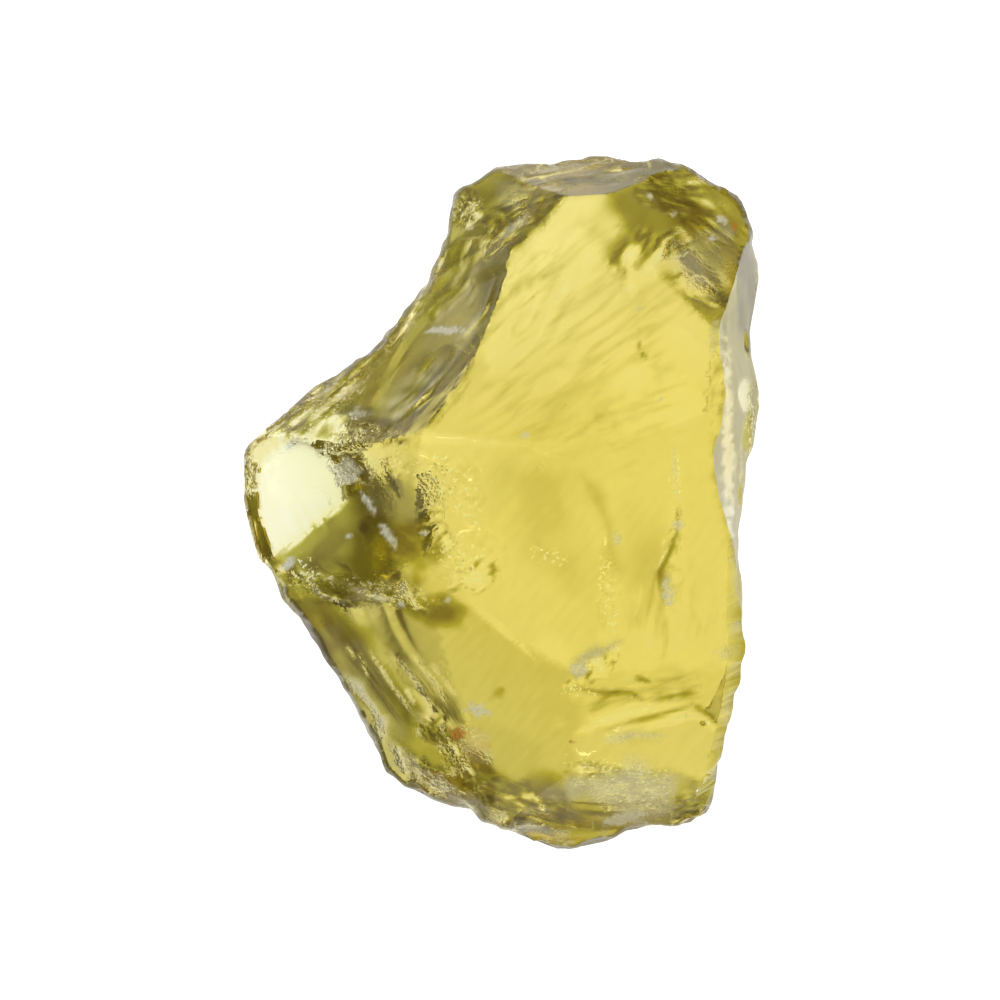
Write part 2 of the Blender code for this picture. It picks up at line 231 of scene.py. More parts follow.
HACKLES = tuple(starmap(Hackle, (
    (600, 330, 155, 105, 35, 14, 70, 0.03, 0.09),
    (520, 320, 80, 45, 48, 11, 45, 0.05, 0.12),
    (545, 265, 60, 40, 40, 10, 35, 0.05, 0.12),
    (640, 410, 75, 55, 20, 14, 40, 0.03, 0.08),
    (463, 207, 26, 26, 60, 9, 14, 0.07, 0.35),
    (520, 205, 50, 28, 20, 9, 22, 0.07, 0.3),
    (500, 235, 34, 16, 45, 8, 22, 0.07, 0.35),
    (580, 172, 80, 15, 6, 9, 45, 0.07, 0.3),
    (636, 258, 36, 32, 58, 8, 30, 0.08, 0.3),
    (676, 190, 48, 30, -12, 9, 26, 0.07, 0.3),
    (712, 225, 42, 30, -38, 9, 36, 0.05, 0.25),
    (672, 245, 24, 20, 25, 8, 16, 0.05, 0.3),
    (700, 290, 36, 14, -20, 9, 16, 0.05, 0.3),
    (440, 385, 72, 30, 50, 12, 60, 0.09, 0.25),
    (455, 280, 52, 28, 60, 12, 40, 0.05, 0.2),
    (415, 300, 64, 14, 57, 8, 30, 0.05, 0.3),
    (320, 400, 84, 30, 38, 9, 28, 0.07, 0.28),
    (270, 420, 40, 22, 32, 8, 20, 0.07, 0.35),
    (350, 440, 36, 18, 20, 8, 14, 0.07, 0.35),
    (247, 470, 35, 12, 90, 8, 10, 0.08, 0.4),
    (300, 510, 45, 40, -60, 12, 50, 0.02, 0.1),
    (350, 465, 34, 16, -35, 9, 14, 0.06, 0.2),
    (432, 464, 26, 20, -60, 10, 13, 0.1, 0.05),
    (458, 480, 34, 26, -50, 11, 15, 0.08, 0.05),
    (478, 502, 17, 13, -50, 10, 13, 0.1, 0.05),
    (490, 545, 30, 18, -35, 10, 14, 0.11, 0.05),
    (545, 553, 18, 9, -35, 10, 14, 0.1, 0.05),
    (430, 515, 22, 10, 25, 9, 20, 0.07, 0.35),
    (445, 540, 14, 20, 25, 9, 16, 0.07, 0.35),
    (475, 575, 30, 18, 28, 9, 26, 0.08, 0.4),
    (340, 585, 60, 24, -22, 10, 26, 0.04, 0.15),
    (400, 595, 42, 14, -15, 9, 20, 0.05, 0.25),
    (390, 540, 42, 30, -30, 12, 24, 0.03, 0.08),
    (300, 575, 30, 25, -30, 9, 20, 0.05, 0.25),
    (365, 680, 78, 42, -55, 9, 80, 0.025, 0.08),
    (440, 700, 44, 30, -55, 9, 50, 0.015, 0.05),
    (435, 730, 30, 16, -40, 8, 12, 0.07, 0.35),
    (530, 805, 62, 26, -20, 9, 24, 0.07, 0.3),
    (450, 785, 52, 18, -30, 9, 16, 0.08, 0.3),
    (645, 700, 78, 45, 15, 14, 60, 0.08, 0.18),
    (600, 665, 36, 14, 30, 8, 12, 0.08, 0.35),
    (620, 785, 58, 28, -10, 9, 14, 0.05, 0.2),
    (690, 805, 30, 16, 20, 8, 20, 0.07, 0.3),
    (716, 375, 60, 12, 85, 12, 26, 0.03, 0.15),
    (675, 560, 60, 14, 85, 10, 18, 0.06, 0.12),
    (608, 610, 46, 12, 85, 10, 12, 0.09, 0.08),
    (670, 600, 60, 55, 80, 12, 50, 0.03, 0.08),
)))

# How ragged and how soft the rim of an oval is, as shares of its size, and how close its lumps are
PATCH_RAGGED = 0.35
PATCH_LUMPS = 2.0
PATCH_SOFT = 0.45
SHADE_SOFT = 0.9

# A streak bends by this share of its width. Finer streaks lie on it, this many times as close
# across and along, and this strong. Its tone swings about the mean of the noise, as painted light and
# shade.
STREAK_BEND = 0.6
FINER_ACROSS = 2.3
FINER_ALONG = 2.0
FINER_SHARE = 0.4
STREAK_MEAN = 0.5
STREAK_TONE = 2.0

# Where no hackle patch lies: length and width in steps of the faint streaks, their turn and
# contrast, in painted light and shade as in bumps, and how weak a hackle patch gives way to them
PLAIN_ALONG = 60.0
PLAIN_ACROSS = 15.0
PLAIN_TURN = 50.0
PLAIN_CONTRAST = 0.07
PLAIN_SHARE = 0.3

# Lines drawn on the upper side: where they run, their half width, their depth in mm (a ridge is
# below 0), how much lighter they are as painted highlight (below 0, darker as painted shade), and how
# frosty
Line = namedtuple("Line", "points width depth tone frost")

LINES = tuple(starmap(Line, (
    (((277, 560), (311, 529), (331, 515), (349, 498)), 2.4, 0.0, 0.4, 0.0),
    (((382, 453), (392, 475), (404, 500)), 2.2, 0.1, -0.35, 0.0),
    (((404, 500), (398, 478), (409, 460)), 1.8, 0.06, -0.2, 0.0),
    (((375, 446), (395, 441), (412, 439)), 3.0, 0.1, -0.4, 0.0),
    (((412, 439), (455, 439), (499, 442), (550, 444)), 3.0, -0.05, 0.14, 0.0),
    (((574, 465), (598, 498), (610, 531), (610, 564), (613, 588)), 8.0, 0.1, -0.12, 0.0),
    (((436, 261), (421, 294), (407, 321), (392, 345)), 2.0, -0.06, 0.45, 0.2),
    (((497, 275), (485, 310), (455, 345)), 2.5, -0.06, 0.2, 0.0),
    (((374, 446), (392, 425), (425, 400), (440, 390)), 3.0, 0.1, -0.25, 0.0),
    (((383, 432), (410, 410), (445, 372)), 2.5, -0.08, 0.35, 0.0),
    (((368, 648), (384, 674), (398, 694), (415, 717)), 1.6, 0.0, 0.6, 0.35),
    (((392, 652), (407, 670), (418, 685), (428, 701), (436, 716)), 1.6, 0.0, 0.6, 0.35),
    (((346, 645), (356, 659)), 1.6, 0.0, 0.55, 0.25),
    (((358, 652), (363, 662), (369, 680)), 1.6, 0.0, 0.55, 0.25),
    (((412, 654), (436, 685), (447, 704)), 1.5, 0.0, 0.45, 0.2),
    (((431, 662), (444, 680), (456, 697)), 1.5, 0.0, 0.4, 0.2),
    (((405, 688), (415, 706)), 1.5, 0.0, 0.45, 0.2),
    (((339, 672), (358, 688), (372, 706), (381, 720), (381, 746)), 4.5, -0.05, 0.3, 0.9),
    (((403, 583), (408, 597), (416, 606), (430, 611)), 2.0, -0.07, 0.6, 0.1),
    (((304, 578), (322, 595), (347, 605)), 2.0, -0.07, 0.5, 0.1),
    (((350, 588), (368, 597), (390, 600)), 2.0, -0.07, 0.45, 0.0),
    (((447, 740), (462, 763), (473, 778)), 2.0, -0.07, 0.5, 0.2),
    (((502, 797), (534, 797)), 1.8, -0.05, 0.4, 0.0),
    (((528, 787), (548, 815)), 2.0, -0.07, 0.45, 0.0),
    (((395, 746), (402, 762), (407, 775)), 2.5, -0.06, 0.5, 0.3),
    (((571, 675), (586, 657), (605, 650), (625, 640)), 5.0, 0.12, -0.25, 0.6),
    (((575, 688), (604, 693), (631, 693), (647, 703)), 3.5, 0.16, -0.25, 0.0),
    (((647, 703), (668, 697), (695, 692)), 3.5, 0.14, -0.22, 0.0),
    (((570, 735), (597, 725), (625, 713), (650, 708)), 3.0, -0.12, 0.15, 0.0),
    (((668, 725), (679, 717), (695, 716), (711, 724), (716, 733)), 2.5, -0.08, 0.15, 0.1),
    (((633, 676), (652, 683)), 2.5, 0.08, -0.3, 0.0),
    (((689, 701), (711, 717), (716, 725)), 3.0, 0.08, -0.25, 0.0),
    (((600, 742), (632, 735), (668, 736)), 4.0, 0.06, 0.05, 0.6),
    (((673, 442), (675, 476), (677, 503)), 2.2, -0.06, 0.12, 0.3),
    (((677, 503), (679, 526), (670, 552), (660, 571), (662, 600)), 2.4, 0.1, -0.3, 0.0),
    (((637, 337), (641, 352), (649, 361)), 1.8, 0.06, -0.3, 0.0),
    (((560, 443), (585, 430), (610, 405)), 3.0, 0.04, -0.08, 0.0),
    (((469, 600), (499, 627), (520, 645), (538, 663)), 2.0, -0.05, 0.15, 0.0),
)))

# How far a line reaches in half widths, how strong it is at its ends, and how much and how often
# its width swells
LINE_REACH = 3.0
LINE_END = 0.15
LINE_SWELL = 0.5
LINE_SWELLS = 9.0

# Crushed, frosty places and rusty ones: an oval, and how strong it is from 0 to 1
Patch = namedtuple("Patch", "x y wide tall turn strength")

FROST = tuple(starmap(Patch, (
    (346, 470, 16, 17, 0, 0.7),
    (360, 414, 14, 8, 0, 0.6),
    (630, 793, 60, 40, -10, 0.55),
    (622, 818, 26, 9, 10, 0.8),
    (368, 503, 14, 5, -60, 1.0),
    (387, 533, 16, 6, -60, 1.0),
    (424, 533, 5, 4, 0, 1.0),
    (402, 604, 5, 4, 0, 1.0),
    (447, 601, 4, 4, 0, 0.8),
    (348, 537, 3, 3, 0, 0.8),
    (288, 564, 9, 6, 35, 0.9),
    (478, 710, 15, 9, -15, 0.9),
    (478, 747, 17, 22, 10, 0.3),
    (446, 330, 23, 5, 3, 0.9),
    (515, 226, 26, 6, 40, 0.5),
    (525, 435, 5, 4, 0, 0.8),
    (660, 398, 3, 3, 0, 0.6),
    (667, 590, 7, 18, 8, 0.8),
    (679, 525, 6, 6, 0, 0.8),
    (616, 538, 5, 9, 20, 0.5),
    (674, 214, 4, 3, 0, 0.9),
    (650, 196, 4, 3, -20, 0.9),
    (722, 220, 7, 4, -20, 0.9),
    (712, 238, 5, 3, -15, 0.9),
    (640, 309, 4, 3, 0, 0.7),
    (578, 670, 10, 9, 30, 0.8),
    (724, 652, 10, 10, 0, 0.35),
    (714, 335, 6, 20, -8, 0.4),
    (452, 200, 6, 16, -20, 0.6),
    (560, 168, 40, 5, 5, 0.5),
    (440, 785, 26, 10, -32, 0.5),
    (743, 500, 2, 60, 2, 0.5),
    (402, 478, 42, 44, -20, 0.15),
    (470, 803, 62, 12, -28, 0.45),
    (545, 833, 40, 9, -15, 0.4),
    (408, 765, 30, 10, -45, 0.4),
    (710, 262, 36, 38, -30, 0.2),
    (520, 195, 36, 20, 10, 0.14),
    (450, 335, 20, 90, -20, 0.08),
    (525, 797, 76, 30, -10, 0.06),
    (365, 690, 70, 34, -52, 0.05),
)))
RUST = tuple(starmap(Patch, (
    (458, 733, 9, 8, 0, 0.8),
    (478, 747, 18, 20, 0, 0.2),
    (734, 226, 2.5, 6, 0, 1.0),
    (571, 742, 3, 2, 0, 1.0),
    (504, 224, 2, 2, 0, 0.7),
    (525, 187, 2, 2, 0, 0.7),
)))

# Places where the olive stone is milky
MILK = tuple(starmap(Patch, (
    (450, 310, 40, 100, -24, 0.5),
    (405, 390, 50, 26, 40, 0.6),
    (330, 402, 76, 24, 38, 0.35),
    (470, 205, 44, 40, 0, 0.35),
    (700, 262, 44, 40, -30, 0.3),
    (345, 580, 66, 30, -25, 0.3),
)))

# Painted glints: places where small flecks of the break are painted lighter, as highlights, and get a
# gritty bump
PAINTED_GLINTS = tuple(starmap(Patch, (
    (440, 478, 24, 32, 0, 1.0),
    (472, 505, 16, 24, 0, 1.0),
    (462, 560, 30, 24, -20, 1.0),
    (548, 555, 20, 9, -20, 0.9),
    (400, 470, 22, 22, 0, 0.5),
    (350, 440, 44, 14, 10, 0.7),
    (320, 405, 70, 22, 38, 0.4),
    (247, 470, 10, 34, 0, 0.8),
    (300, 577, 26, 22, 0, 0.8),
    (385, 592, 56, 14, -15, 0.6),
    (610, 600, 10, 44, 10, 0.8),
    (575, 690, 14, 9, 0, 0.8),
    (620, 768, 56, 8, -10, 0.9),
    (676, 480, 6, 50, 0, 0.8),
    (752, 420, 6, 40, 0, 1.0),
    (463, 207, 24, 20, 0, 0.6),
    (455, 752, 24, 30, 0, 0.5),
    (622, 790, 54, 26, -10, 0.7),
)))

# Chips along the upper rim: how many, the seed, how deep, how steep and how round, in mm and
# degrees, and the thinnest wall that takes one
Chips = namedtuple("Chips", "count seed bite slope radius wall")

LARGE_CHIPS = Chips(30, 7, (0.2, 0.7), (40.0, 75.0), (2.0, 4.5), 3.0)
SMALL_CHIPS = Chips(150, 21, (0.03, 0.30), (30.0, 80.0), (0.5, 1.6), 0.6)

# The wall at a chip is measured in steps of RIM_STEP up to RIM_TOP, in mm
RIM_STEP = 0.2
RIM_TOP = 17.0

# How uneven the side walls are, and the size of their lumps, in mm. Finer lumps lie on them, this
# many times as close and this strong.
WALL_ROUGHNESS = 0.12
WALL_LUMP = 1.1
FINER_WALL = 2.0
FINER_WALL_SHARE = 0.5

# How the fine mesh settles on the faces, ridges and corners, in mm and degrees
MERGE_REACH = 0.001
SETTLE_ROUNDS = 5
FACES_AT_CORNER = 3
CORNER_BLUNTNESS = 0.01
RIDGE_REACH_IN_GRAINS = 0.5
REST_SNAP = 0.02
SHARP_ANGLE = 35.0

# The seed that each kind of noise starts from, and the factors that tangle a place into a number
WALL_SEED = 5
STREAK_SEED = 40
RING_SEED = 50
FINER_SEED = 70
BEND_SEED = 90
PATCH_SEED = 200
SHADE_SEED = 300
NOISE_MIX = (127.1, 311.7, 74.7)
NOISE_TANGLE = 43758.5453

# Tones at which the stone has its deep, olive, green, yellow and pale tints. The deep, olive and
# green tints paint shade, and the pale tint also paints the highlights of lines and glints.
TINT_TONES = (0.0, 0.25, 0.38, 0.5, 1.0)

# Between these tones the silky look of the olive zones gives way to that of a clean break
SILKY_TONES = (0.15, 0.42)

# The material's noises: how many finer layers each has, how far the streaks and the crumbs swing,
# and where the flecks of painted glints begin and are full
STREAK_DETAIL = 5.0
FLECK_DETAIL = 3.0
CRUMB_DETAIL = 2.0
STREAK_SWING = (-2.0, 2.0)
CRUMB_SWING = (-0.3, 1.9)
FLECK_EDGE = (0.57, 0.62)

# How clear the stone still is where it is crushed or rusty
CLOUDED_CLEARNESS = 0.35

# Soft boxes: name, azimuth, elevation, size in metres, power in watts
SOFT_LIGHTS = (
    ("key_light", 130.0, 38.0, 0.16, 0.8),
    ("side_light", 340.0, 40.0, 0.12, 0.35),
    ("top_light", 115.0, 64.0, 0.30, 0.35),
    ("low_light", 281.0, 62.0, 0.05, 0.08),
)

# How far away the soft boxes stand and how near the camera sees, in metres
LIGHT_DISTANCE = 0.5
NEAREST_SEEN = 0.01

# Light bounces this often inside the stone
LIGHT_BOUNCES = 24

PAPER_GREY = (0.5, 0.5, 0.5, 1.0)
PAPER_ROUGHNESS = 0.9
WHITE = (1.0, 1.0, 1.0, 1.0)


def smooth_step(share):
    """Ease from 0 to 1 as share goes from 0 to 1."""
    share = np.clip(share, 0.0, 1.0)
    return share * share * (3.0 - 2.0 * share)


def value_noise(u, v, seed):
    """Smooth random numbers from -1 to 1 over a plane, the same on each run."""
    cell_u, cell_v = np.floor(u), np.floor(v)
    share_u, share_v = smooth_step(u - cell_u), smooth_step(v - cell_v)

    def corner(step_u, step_v):
        mixed = (cell_u + step_u) * NOISE_MIX[0] + (cell_v + step_v) * NOISE_MIX[1] + seed * NOISE_MIX[2]
        tangled = np.sin(mixed) * NOISE_TANGLE
        return 2.0 * (tangled - np.floor(tangled)) - 1.0

    near = corner(0, 0) * (1.0 - share_u) + corner(1, 0) * share_u
    far = corner(0, 1) * (1.0 - share_u) + corner(1, 1) * share_u
    return near * (1.0 - share_v) + far * share_v


def seen_from_above(points):
    """Where points show in the view, in steps right and down from its top left corner."""
    nearness = (VIEW_HEIGHT - WALL_WIDEST) / (VIEW_HEIGHT - points[:, 2]) / STEP
    right = (points[:, 0] - VIEW_CENTRE[0]) * nearness
    down = (VIEW_CENTRE[1] - points[:, 1]) * nearness
    return np.stack((VIEW_MIDDLE + right, VIEW_MIDDLE + down), axis=1)


def in_patch(patch, seen, seed, soft=PATCH_SOFT):
    """Which points lie in an oval patch, their places along and across it, and its strength there."""
    turn = math.radians(patch.turn)
    right = seen[:, 0] - patch.x
    up = patch.y - seen[:, 1]
    along = right * math.cos(turn) + up * math.sin(turn)
    across = up * math.cos(turn) - right * math.sin(turn)
    reach = np.hypot(along / patch.wide, across / patch.tall)
    near = np.flatnonzero(reach < 1.0 + PATCH_RAGGED)
    along, across, reach = along[near], across[near], reach[near]
    size = min(patch.wide, patch.tall)
    lumps = value_noise(along / size * PATCH_LUMPS, across / size * PATCH_LUMPS, seed)
    return near, along, across, smooth_step((1.0 - (reach + PATCH_RAGGED * lumps)) / soft)


def patch_strength(patches, seen):
    """How strong the strongest of some oval patches is at each point."""
    values = np.zeros(len(seen))
    for seed, patch in enumerate(patches):
        near, _, _, strength = in_patch(patch, seen, seed + PATCH_SEED)
        values[near] = np.maximum(values[near], patch.strength * strength)
    return values


def on_line(line, seen):
    """Which points lie near a drawn line, and how strongly it shows there."""
    corners = np.array(line.points, dtype=float)
    margin = LINE_REACH * line.width
    low, high = corners.min(axis=0) - margin, corners.max(axis=0) + margin
    near = np.flatnonzero(((seen > low) & (seen < high)).all(axis=1))
    here = seen[near][:, None]
    run = corners[1:] - corners[:-1]
    share = np.clip(((here - corners[:-1]) * run).sum(2) / (run ** 2).sum(1), 0.0, 1.0)
    gap = np.linalg.norm(here - corners[:-1] - share[:, :, None] * run, axis=2)
    closest = gap.argmin(axis=1)
    row = np.arange(len(near))
    along = (closest + share[row, closest]) / len(run)
    fade = smooth_step(4.0 * along * (1.0 - along) + LINE_END)
    swell = 1.0 + LINE_SWELL * value_noise(along * LINE_SWELLS, np.zeros(len(near)), line.points[0][0])
    return near, fade * np.exp(-(gap[row, closest] / line.width / swell) ** 2)


def streak_noise(hackle, along, across, seed):
    """Ridged noise that runs along a hackle patch."""
    lengths = along / hackle.along
    bend = STREAK_BEND * hackle.across * value_noise(lengths, across / hackle.along, seed + BEND_SEED)
    streak = value_noise((across + bend) / hackle.across, lengths, seed + STREAK_SEED)
    finer = value_noise((across + bend) * FINER_ACROSS / hackle.across, along * FINER_ALONG / hackle.along,
                        seed + FINER_SEED)
    return np.abs(streak) + FINER_SHARE * np.abs(finer)


def upper_relief(points):
    """Depth of the hackle and the drawn lines of the upper side at each point."""
    seen = seen_from_above(points)
    depth = np.zeros(len(points))
    for seed, hackle in enumerate(HACKLES):
        near, along, across, strength = in_patch(hackle, seen, seed)
        depth[near] += hackle.height * strength * streak_noise(hackle, along, across, seed)
    for line in LINES:
        near, strength = on_line(line, seen)
        depth[near] += line.depth * strength
    return depth


def ripple_depth(name, points):
    """How deep the ripples of a face bite below its plain surface."""
    depth = np.zeros(len(points))
    for seed, ripple in enumerate(RIPPLES):
        if ripple.face != name:
            continue
        east = points[:, 0] - ripple.x
        north = points[:, 1] - ripple.y
        reach = np.hypot(east, north)
        around = np.arctan2(north, east) * reach / ripple.along
        phase = reach / ripple.across + RING_SWAY * value_noise(around, reach / ripple.along, seed)
        rise = phase - np.floor(phase)
        wave = np.minimum(rise / RING_CREST, (1.0 - rise) / (1.0 - RING_CREST))
        broken = 0.5 + 0.5 * value_noise(around + RING_SHIFT, phase * RING_BREAKS, seed + RING_SEED)
        depth += ripple.height * wave * broken
    return depth


def face_normal(face, upward):
    """Unit vector that points out of the chunk at a fracture face."""
    looks = math.radians(face.looks)
    slope = math.radians(face.slope)
    rise = math.cos(slope) if upward else -math.cos(slope)
    return np.array((math.sin(slope) * math.cos(looks), math.sin(slope) * math.sin(looks), rise))


def face_distances(face, upward, points):
    """Outside distance of points from a plain face, and the way out of the stone there."""
    out = face_normal(face, upward)
    hung_on = np.array((face.x, face.y, face.z))
    if face.hollow == 0:
        distance = (points - hung_on) @ out
        ways = np.broadcast_to(out, points.shape)
    else:
        to_centre = hung_on + out * face.hollow - points
        reach = np.linalg.norm(to_centre, axis=1)
        distance = face.hollow - reach
        ways = to_centre / reach[:, None]
    return distance, ways


def chip_distances(chips, points):
    """Outside distance of points from whichever chip cuts deepest there, and the way out."""
    deepest = np.full(len(points), -np.inf)
    ways = np.zeros_like(points)
    for chip in chips:
        distance, way = face_distances(chip, True, points)
        deeper = distance > deepest
        deepest[deeper] = distance[deeper]
        ways[deeper] = way[deeper]
    return deepest, ways


def outline_distances(points):
    """Distance of points outside the outline in plan, and the level way out, of any length."""
    corners = np.array(OUTLINE)
    flat = points[:, None, :2]
    run = np.roll(corners, -1, axis=0) - corners
    along = np.clip(((flat - corners) * run).sum(2) / (run ** 2).sum(1), 0.0, 1.0)
    gap = flat - (corners + along[:, :, None] * run)
    reach = np.linalg.norm(gap, axis=2)
    nearest = reach.argmin(axis=1)
    row = np.arange(len(points))
    side = run[nearest, 0] * gap[row, nearest, 1] - run[nearest, 1] * gap[row, nearest, 0]
    sign = np.where(side > 0.0, 1.0, -1.0)
    return sign * reach[row, nearest], np.stack((-run[nearest, 1], run[nearest, 0]), axis=1)


def right_wall_share(points):
    """How much the right wall's own lean and smoothness show at each point."""
    share = smooth_step((points[:, 1] - RIGHT_WALL_END) / RIGHT_WALL_FADE)
    share *= smooth_step((RIGHT_WALL_TOP - points[:, 1]) / RIGHT_WALL_TOP_FADE)
    return share * (points[:, 0] > RIGHT_WALL)


def wall_distances(points):
    """Outside distance of points from the leaning side walls, and the way out there."""
    beyond, outward = outline_distances(points)
    on_right = right_wall_share(points)
    height = points[:, 2] - WALL_WIDEST
    lean_above = LEAN_ABOVE + (RIGHT_WALL_LEAN - LEAN_ABOVE) * on_right
    lean = np.where(height > 0.0, lean_above, -LEAN_BELOW)
    x, y, z = points.T / WALL_LUMP
    lumps = value_noise(x + y, z, WALL_SEED)
    lumps += FINER_WALL_SHARE * value_noise(x * FINER_WALL, y * FINER_WALL, WALL_SEED + 1)
    lumps *= WALL_ROUGHNESS * (1.0 - RIGHT_WALL_SMOOTH * on_right)
    ways = np.zeros_like(points)
    ways[:, :2] = outward / np.linalg.norm(outward, axis=1)[:, None]
    ways[:, 2] = lean
    return beyond + lean * height + lumps, ways / np.linalg.norm(ways, axis=1)[:, None]


def measure_faces(points, chips):
    """Outside distances and ways out, for every face, the chips and the wall, of each point."""
    relief = upper_relief(points)
    measured = []
    for face in UPPER_FACES:
        distance, ways = face_distances(face, True, points)
        measured.append((distance + relief + ripple_depth(face.name, points), ways))
    for face in LOWER_FACES:
        distance, ways = face_distances(face, False, points)
        measured.append((distance + ripple_depth(face.name, points), ways))
    if chips:
        measured.append(chip_distances(chips, points))
    measured.append(wall_distances(points))
    return np.stack([distance for distance, _ in measured]), np.stack([ways for _, ways in measured])


def settle_points(points, chips, ridge_reach):
    """Move points onto the true faces; one near a ridge or a corner goes onto that."""
    row = np.arange(len(points))
    for _ in range(SETTLE_ROUNDS):
        distances, ways = measure_faces(points, chips)
        order = np.argpartition(-distances, FACES_AT_CORNER, axis=0)[:FACES_AT_CORNER]
        ranked = np.argsort(-distances[order, row], axis=0)
        order = order[ranked, row]
        distances = distances[order, row]
        ways = ways[order, row]
        step = -distances[0, :, None] * ways[0]
        for count in range(2, FACES_AT_CORNER + 1):
            sides = ways[:count].transpose(1, 0, 2)
            crossing = sides @ sides.transpose(0, 2, 1) + CORNER_BLUNTNESS * np.eye(count)
            shares = np.linalg.solve(crossing, -distances[:count].T[:, :, None])
            jump = (sides.transpose(0, 2, 1) @ shares)[:, :, 0]
            close = np.linalg.norm(jump, axis=1) < ridge_reach
            step[close] = jump[close]
        points = points + step
    return points


def rim_wall(places):
    """Heights in mm of the stone's lower and upper surface at places in plan."""
    heights = np.arange(0.0, RIM_TOP, RIM_STEP)
    columns = np.array([(x, y, z) for x, y in places for z in heights])
    distances, _ = measure_faces(columns, ())
    within = (distances.max(axis=0) < 0.0).reshape(len(places), len(heights))
    tops = np.where(within, heights, 0.0).max(axis=1)
    bottoms = np.where(within, heights, RIM_TOP).min(axis=1)
    return bottoms, tops


def rim_chips(kind):
    """Small hollows knocked out of the upper rim, at seeded places along the outline."""
    random.seed(kind.seed)
    sketched = []
    for index in range(kind.count):
        place = (index + random.random()) / kind.count * len(OUTLINE)
        share = place % 1.0
        start_x, start_y = OUTLINE[int(place) % len(OUTLINE)]
        end_x, end_y = OUTLINE[(int(place) + 1) % len(OUTLINE)]
        x = start_x * (1.0 - share) + end_x * share
        y = start_y * (1.0 - share) + end_y * share
        looks = math.degrees(math.atan2(start_x - end_x, end_y - start_y)) + 180.0
        inward = 1.0 - random.uniform(*kind.bite) / math.hypot(x, y)
        slope = random.uniform(*kind.slope)
        radius = random.uniform(*kind.radius)
        sketched.append((x * inward, y * inward, looks, slope, radius))
    bottoms, tops = rim_wall([sketch[:2] for sketch in sketched])
    chips = []
    for (x, y, looks, slope, radius), bottom, top in zip(sketched, bottoms, tops):
        if top - bottom > kind.wall:
            chips.append(Face("chip", x, y, top, looks, slope, radius))
    return chips


def add_attribute(mesh, name, values):
    """Store a number or a vector for each point of the mesh, for its material."""
    kind, field = ('FLOAT', "value") if values.ndim == 1 else ('FLOAT_VECTOR', "vector")
    mesh.attributes.new(name, kind, 'POINT').data.foreach_set(field, values.ravel())


def face_tones(points, chips):
    """Tone of the face that each point lies on; its low tones are painted shade."""
    names = [face.name for face in UPPER_FACES + LOWER_FACES] + ["chip", "wall"]
    tones = np.array([TONES.get(name, TONE_BELOW) for name in names])
    distances, _ = measure_faces(points, chips)
    return tones[distances.argmax(axis=0)]


def softened(mesh, values):
    """Even out the values of neighbouring points."""
    ends = np.empty(len(mesh.edges) * 2, dtype=int)
    mesh.edges.foreach_get("vertices", ends)
    starts, stops = ends[0::2], ends[1::2]
    for _ in range(TONE_SOFTENING):
        total = values + np.bincount(starts, values[stops], len(values))
        total += np.bincount(stops, values[starts], len(values))
        values = total / (1.0 + np.bincount(ends, minlength=len(values)))
    return values


def add_shades(tone, seen, upper):
    """Blend the soft ovals of another tone, painted shade and light, into the upper side."""
    for seed, shade in enumerate(SHADES):
        near, _, _, strength = in_patch(shade, seen, seed + SHADE_SEED, SHADE_SOFT)
        near, strength = near[upper[near]], strength[upper[near]]
        tone[near] += (shade.tone - tone[near]) * shade.share * strength


def paint_streaks(mesh, tone, seen, upper):
    """Streak the tone with painted light and shade, and store how the fine streaks run and how much they
    show.
    """
    turn = math.radians(PLAIN_TURN)
    run = np.zeros((len(seen), 3))
    run[:, 0] = (seen[:, 0] * math.cos(turn) - seen[:, 1] * math.sin(turn)) / PLAIN_ALONG
    run[:, 1] = (seen[:, 0] * math.sin(turn) + seen[:, 1] * math.cos(turn)) / PLAIN_ACROSS
    best = np.full(len(seen), PLAIN_SHARE)
    runner_up = np.zeros(len(seen))
    contrast = np.full(len(seen), PLAIN_CONTRAST)
    for seed, hackle in enumerate(HACKLES):
        near, along, across, strength = in_patch(hackle, seen, seed)
        above = upper[near]
        near, along, across, strength = near[above], along[above], across[above], strength[above]
        swing = streak_noise(hackle, along, across, seed) - STREAK_MEAN
        tone[near] += STREAK_TONE * hackle.tone * strength * swing
        wins = strength > best[near]
        runner_up[near] = np.where(wins, best[near], np.maximum(runner_up[near], strength))
        best[near] = np.maximum(best[near], strength)
        won = near[wins]
        run[won, 0] = along[wins] / hackle.along
        run[won, 1] = across[wins] / hackle.across
        run[won, 2] = seed
        contrast[won] = hackle.tone
    add_attribute(mesh, "streak", run)
    add_attribute(mesh, "hackle", contrast * np.maximum(best - runner_up, 0.0) * upper)


def paint_upper_side(mesh, points, chips, upper):
    """Store tone with its painted light and shade, streaks, frost, rust, painted glints and milkiness as
    attributes.
    """
    seen = seen_from_above(points)
    tone = softened(mesh, face_tones(points, chips))
    add_shades(tone, seen, upper)
    paint_streaks(mesh, tone, seen, upper)
    frost = patch_strength(FROST, seen)
    # The drawn lines paint highlights and shade into the tone
    for line in LINES:
        near, strength = on_line(line, seen)
        tone[near] += line.tone * strength * upper[near]
        frost[near] = np.maximum(frost[near], line.frost * strength)
    add_attribute(mesh, "tone", np.clip(tone, 0.0, 1.0))
    add_attribute(mesh, "frost", frost * upper)
    for name, patches in (("rust", RUST), ("painted_glint", PAINTED_GLINTS), ("milk", MILK)):
        add_attribute(mesh, name, patch_strength(patches, seen) * upper)


def add_node(tree, kind, **settings):
    """Add a shader node and set its properties."""
    node = tree.nodes.new(kind)
    for name, value in settings.items():
        setattr(node, name, value)
    return node


def set_inputs(node, values):
    """Give inputs of a shader node fixed values, by their names."""
    for name, value in values.items():
        node.inputs[name].default_value = value


def add_noise(tree, place, scale, detail):
    """Noise over the stone or along its streaks."""
    noise = add_node(tree, "ShaderNodeTexNoise")
    set_inputs(noise, {"Scale": scale, "Detail": detail})
    tree.links.new(place, noise.inputs["Vector"])
    return noise.outputs["Fac"]


